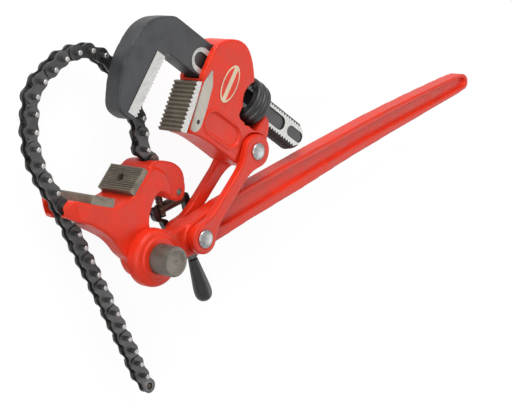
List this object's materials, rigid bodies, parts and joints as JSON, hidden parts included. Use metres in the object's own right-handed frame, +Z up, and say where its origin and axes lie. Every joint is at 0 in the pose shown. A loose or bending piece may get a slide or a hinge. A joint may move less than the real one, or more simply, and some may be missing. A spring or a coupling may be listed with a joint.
{
  "type": "compound leverage wrench",
  "caption": "Compound leverage pipe wrench: chain vise trunnion, long I-beam handle, twin links and a head with a screw-adjusted hook jaw over a toothed heel jaw.",
  "frame": {"origin": "middle of the base of the bounding box: the tool lies on the rear face of its trunnion", "axes": "+X along the handle away from the trunnion pin, +Y from the trunnion pin towards the jaws, +Z up along every pivot pin, towards the face that the picture shows"},
  "size_m": [0.6104, 0.3646, 0.0877],
  "materials": {
    "red_paint": "smooth bright red enamel over cast iron",
    "forged_steel": "dark grey scale of a forging, satin",
    "insert_steel": "hardened steel, brown-grey, satin",
    "black_oxide": "black, satin",
    "chain_steel": "oiled dark gunmetal",
    "pin_steel": "oiled brown-grey bar steel",
    "rivet_steel": "bright, lightly scuffed",
    "key_steel": "ground light beige-grey",
    "spring_steel": "spring steel",
    "label_cream": "cream and red enamel oval, bare of words",
    "screw_steel": "dark brown oxidised steel"
  },
  "bodies": {
    "trunnion": {"trunnion_casting": "red_paint", "trunnion_pin": "pin_steel", "ear_pin": "pin_steel", "trunnion_jaw_left": "insert_steel", "trunnion_jaw_right": "insert_steel", "jaw_screw_left": "screw_steel", "jaw_screw_right": "screw_steel"},
    "handle": {"handle_casting": "red_paint", "lower_rivet": "rivet_steel"},
    "links": {"front_link": "red_paint", "rear_link": "red_paint", "upper_rivet": "rivet_steel"},
    "head": {"head_housing": "red_paint", "heel_jaw": "insert_steel", "heel_key": "key_steel", "heel_jaw_pin": "screw_steel", "label_plate": "label_cream", "coil_spring": "spring_steel", "leaf_spring": "spring_steel"},
    "hook_jaw_body": {"hook_jaw": "forged_steel"},
    "nut": {"adjusting_nut": "black_oxide"},
    "screw": {"chain_screw": "screw_steel"},
    "barrel": {"barrel_nut": "screw_steel"},
    "lever": {"lever_fork": "black_oxide", "lever_grip": "black_oxide"},
    "chain_01": {"chain_link_01": "chain_steel"},
    "chain_02": {"chain_link_02": "chain_steel"},
    "chain_03": {"chain_link_03": "chain_steel"},
    "chain_04": {"chain_link_04": "chain_steel"},
    "chain_05": {"chain_link_05": "chain_steel"},
    "chain_06": {"chain_link_06": "chain_steel"},
    "chain_07": {"chain_link_07": "chain_steel"},
    "chain_08": {"chain_link_08": "chain_steel"},
    "chain_09": {"chain_link_09": "chain_steel"},
    "chain_10": {"chain_link_10": "chain_steel"},
    "chain_11": {"chain_link_11": "chain_steel"},
    "chain_12": {"chain_link_12": "chain_steel"},
    "chain_13": {"chain_link_13": "chain_steel"},
    "chain_14": {"chain_link_14": "chain_steel"},
    "chain_15": {"chain_link_15": "chain_steel"},
    "chain_16": {"chain_link_16": "chain_steel"},
    "chain_17": {"chain_link_17": "chain_steel"},
    "chain_18": {"chain_link_18": "chain_steel"},
    "chain_19": {"chain_link_19": "chain_steel"},
    "chain_20": {"chain_link_20": "chain_steel"},
    "chain_21": {"chain_link_21": "chain_steel"},
    "chain_22": {"chain_link_22": "chain_steel"},
    "chain_23": {"chain_link_23": "chain_steel"},
    "chain_24": {"chain_link_24": "chain_steel"},
    "chain_25": {"chain_link_25": "chain_steel"},
    "chain_26": {"chain_link_26": "chain_steel"},
    "chain_27": {"chain_link_27": "chain_steel"},
    "chain_28": {"chain_link_28": "chain_steel"},
    "chain_29": {"chain_link_29": "chain_steel"},
    "chain_30": {"chain_link_30": "chain_steel"},
    "chain_31": {"chain_link_31": "chain_steel"},
    "chain_32": {"chain_link_32": "chain_steel"},
    "chain_33": {"chain_link_33": "chain_steel"},
    "chain_34": {"chain_link_34": "chain_steel"},
    "chain_35": {"chain_link_35": "chain_steel"}
  },
  "joints": [
    {"name": "handle_swing", "type": "hinge", "parent": "trunnion", "child": "handle", "pos_m": [-0.21362, -0.03894, 0.0534], "axis": [0, 0, 1], "range_deg": [-20, 4]},
    {"name": "link_swing", "type": "hinge", "parent": "handle", "child": "links", "pos_m": [-0.16162, -0.03894, 0.0534], "axis": [0, 0, 1], "range_deg": [-3, 3]},
    {"name": "head_swing", "type": "hinge", "parent": "links", "child": "head", "pos_m": [-0.06933, 0.01755, 0.0534], "axis": [0, 0, -1], "range_deg": [-15, 6]},
    {"name": "hook_jaw_slide", "type": "slide", "parent": "head", "child": "hook_jaw_body", "axis": [0.6756, -0.7373, 0], "range_m": [-0.055, 0.012]},
    {"name": "nut_spin", "type": "hinge", "parent": "head", "child": "nut", "pos_m": [-0.03667, 0.04748, 0.0534], "axis": [0.6756, -0.7373, 0], "range_deg": [-1010, 4612]},
    {"name": "lever_turn", "type": "hinge", "parent": "trunnion", "child": "barrel", "pos_m": [-0.16662, -0.01094, 0.025], "axis": [0, 1, 0], "range_deg": [0, 90]},
    {"name": "screw_travel", "type": "slide", "parent": "trunnion", "child": "screw", "axis": [0, 1, 0], "range_m": [-0.00074, 0]},
    {"name": "lever_swing", "type": "hinge", "parent": "barrel", "child": "lever", "pos_m": [-0.16662, -0.01094, 0.025], "axis": [1, 0, 0], "range_deg": [0, 75]},
    {"name": "chain_pivot_01", "type": "hinge", "parent": "screw", "child": "chain_01", "pos_m": [-0.16662, 0.04136, 0.025], "axis": [0, 0, 1], "range_deg": [-1.5, 0]},
    {"name": "chain_pivot_02", "type": "hinge", "parent": "chain_01", "child": "chain_02", "pos_m": [-0.17455, 0.05511, 0.025], "axis": [0, 0, 1], "range_deg": [-1.5, 0]},
    {"name": "chain_pivot_03", "type": "hinge", "parent": "chain_02", "child": "chain_03", "pos_m": [-0.1718, 0.07074, 0.025], "axis": [0, 0, 1], "range_deg": [-1.5, 0]},
    {"name": "chain_pivot_04", "type": "hinge", "parent": "chain_03", "child": "chain_04", "pos_m": [-0.17097, 0.0866, 0.025], "axis": [0, 0, 1], "range_deg": [-1.5, 0]},
    {"name": "chain_pivot_05", "type": "hinge", "parent": "chain_04", "child": "chain_05", "pos_m": [-0.1718, 0.10245, 0.025], "axis": [0, 0, 1], "range_deg": [-1.5, 0]},
    {"name": "chain_pivot_06", "type": "hinge", "parent": "chain_05", "child": "chain_06", "pos_m": [-0.1751, 0.11798, 0.025], "axis": [0, 0, 1], "range_deg": [-1.5, 0]},
    {"name": "chain_pivot_07", "type": "hinge", "parent": "chain_06", "child": "chain_07", "pos_m": [-0.1813, 0.13259, 0.025], "axis": [0, 0, 1], "range_deg": [-1.5, 0]},
    {"name": "chain_pivot_08", "type": "hinge", "parent": "chain_07", "child": "chain_08", "pos_m": [-0.18924, 0.14634, 0.025], "axis": [0, 0, 1], "range_deg": [-1.5, 0]},
    {"name": "chain_pivot_09", "type": "hinge", "parent": "chain_08", "child": "chain_09", "pos_m": [-0.19879, 0.15902, 0.025], "axis": [0, 0, 1], "range_deg": [-1.5, 0]},
    {"name": "chain_pivot_10", "type": "hinge", "parent": "chain_09", "child": "chain_10", "pos_m": [-0.21195, 0.16789, 0.025], "axis": [0, 0, 1], "range_deg": [-1.5, 0]},
    {"name": "chain_pivot_11", "type": "hinge", "parent": "chain_10", "child": "chain_11", "pos_m": [-0.22754, 0.17092, 0.025], "axis": [0, 0, 1], "range_deg": [-1.5, 0]},
    {"name": "chain_pivot_12", "type": "hinge", "parent": "chain_11", "child": "chain_12", "pos_m": [-0.24339, 0.17009, 0.025], "axis": [0, 0, 1], "range_deg": [-1.5, 0]},
    {"name": "chain_pivot_13", "type": "hinge", "parent": "chain_12", "child": "chain_13", "pos_m": [-0.25831, 0.16466, 0.025], "axis": [0, 0, 1], "range_deg": [-2.5, 0]},
    {"name": "chain_pivot_14", "type": "hinge", "parent": "chain_13", "child": "chain_14", "pos_m": [-0.27292, 0.15846, 0.025], "axis": [0, 0, 1], "range_deg": [-2.5, 0]},
    {"name": "chain_pivot_15", "type": "hinge", "parent": "chain_14", "child": "chain_15", "pos_m": [-0.2849, 0.14805, 0.025], "axis": [0, 0, 1], "range_deg": [-8, 0]},
    {"name": "chain_pivot_16", "type": "hinge", "parent": "chain_15", "child": "chain_16", "pos_m": [-0.29059, 0.13323, 0.025], "axis": [0, 0, 1], "range_deg": [-8, 0]},
    {"name": "chain_pivot_17", "type": "hinge", "parent": "chain_16", "child": "chain_17", "pos_m": [-0.29576, 0.11822, 0.025], "axis": [0, 0, 1], "range_deg": [-8, 0]},
    {"name": "chain_pivot_18", "type": "hinge", "parent": "chain_17", "child": "chain_18", "pos_m": [-0.29824, 0.10254, 0.025], "axis": [0, 0, 1], "range_deg": [-8, 0]},
    {"name": "chain_pivot_19", "type": "hinge", "parent": "chain_18", "child": "chain_19", "pos_m": [-0.29796, 0.08666, 0.025], "axis": [0, 0, 1], "range_deg": [-8, 0]},
    {"name": "chain_pivot_20", "type": "hinge", "parent": "chain_19", "child": "chain_20", "pos_m": [-0.29466, 0.07114, 0.025], "axis": [0, 0, 1], "range_deg": [-8, 0]},
    {"name": "chain_pivot_21", "type": "hinge", "parent": "chain_20", "child": "chain_21", "pos_m": [-0.28923, 0.05622, 0.025], "axis": [0, 0, 1], "range_deg": [-8, 0]},
    {"name": "chain_pivot_22", "type": "hinge", "parent": "chain_21", "child": "chain_22", "pos_m": [-0.28407, 0.04121, 0.025], "axis": [0, 0, 1], "range_deg": [-8, 0]},
    {"name": "chain_pivot_23", "type": "hinge", "parent": "chain_22", "child": "chain_23", "pos_m": [-0.28076, 0.02568, 0.025], "axis": [0, 0, 1], "range_deg": [-12, 3]},
    {"name": "chain_pivot_24", "type": "hinge", "parent": "chain_23", "child": "chain_24", "pos_m": [-0.27747, 0.01015, 0.025], "axis": [0, 0, 1], "range_deg": [-12, 3]},
    {"name": "chain_pivot_25", "type": "hinge", "parent": "chain_24", "child": "chain_25", "pos_m": [-0.27416, -0.00538, 0.025], "axis": [0, 0, 1], "range_deg": [-12, 3]},
    {"name": "chain_pivot_26", "type": "hinge", "parent": "chain_25", "child": "chain_26", "pos_m": [-0.27086, -0.0209, 0.025], "axis": [0, 0, 1], "range_deg": [-12, 3]},
    {"name": "chain_pivot_27", "type": "hinge", "parent": "chain_26", "child": "chain_27", "pos_m": [-0.26729, -0.03637, 0.025], "axis": [0, 0, 1], "range_deg": [-12, 3]},
    {"name": "chain_pivot_28", "type": "hinge", "parent": "chain_27", "child": "chain_28", "pos_m": [-0.26372, -0.05184, 0.025], "axis": [0, 0, 1], "range_deg": [-12, 3]},
    {"name": "chain_pivot_29", "type": "hinge", "parent": "chain_28", "child": "chain_29", "pos_m": [-0.26015, -0.06731, 0.025], "axis": [0, 0, 1], "range_deg": [-12, 3]},
    {"name": "chain_pivot_30", "type": "hinge", "parent": "chain_29", "child": "chain_30", "pos_m": [-0.25685, -0.08284, 0.025], "axis": [0, 0, 1], "range_deg": [-12, 3]},
    {"name": "chain_pivot_31", "type": "hinge", "parent": "chain_30", "child": "chain_31", "pos_m": [-0.25328, -0.09831, 0.025], "axis": [0, 0, 1], "range_deg": [-12, 3]},
    {"name": "chain_pivot_32", "type": "hinge", "parent": "chain_31", "child": "chain_32", "pos_m": [-0.24998, -0.11383, 0.025], "axis": [0, 0, 1], "range_deg": [-12, 3]},
    {"name": "chain_pivot_33", "type": "hinge", "parent": "chain_32", "child": "chain_33", "pos_m": [-0.24614, -0.12924, 0.025], "axis": [0, 0, 1], "range_deg": [-12, 3]},
    {"name": "chain_pivot_34", "type": "hinge", "parent": "chain_33", "child": "chain_34", "pos_m": [-0.24338, -0.14487, 0.025], "axis": [0, 0, 1], "range_deg": [-12, 3]},
    {"name": "chain_pivot_35", "type": "hinge", "parent": "chain_34", "child": "chain_35", "pos_m": [-0.24008, -0.1604, 0.025], "axis": [0, 0, 1], "range_deg": [-12, 3]}
  ],
  "couplings": [
    {"joint": "nut_spin", "follows": "hook_jaw_slide", "rad_per_m": -1461.2},
    {"joint": "lever_turn", "follows": "screw_travel", "rad_per_m": -2094.4}
  ]
}
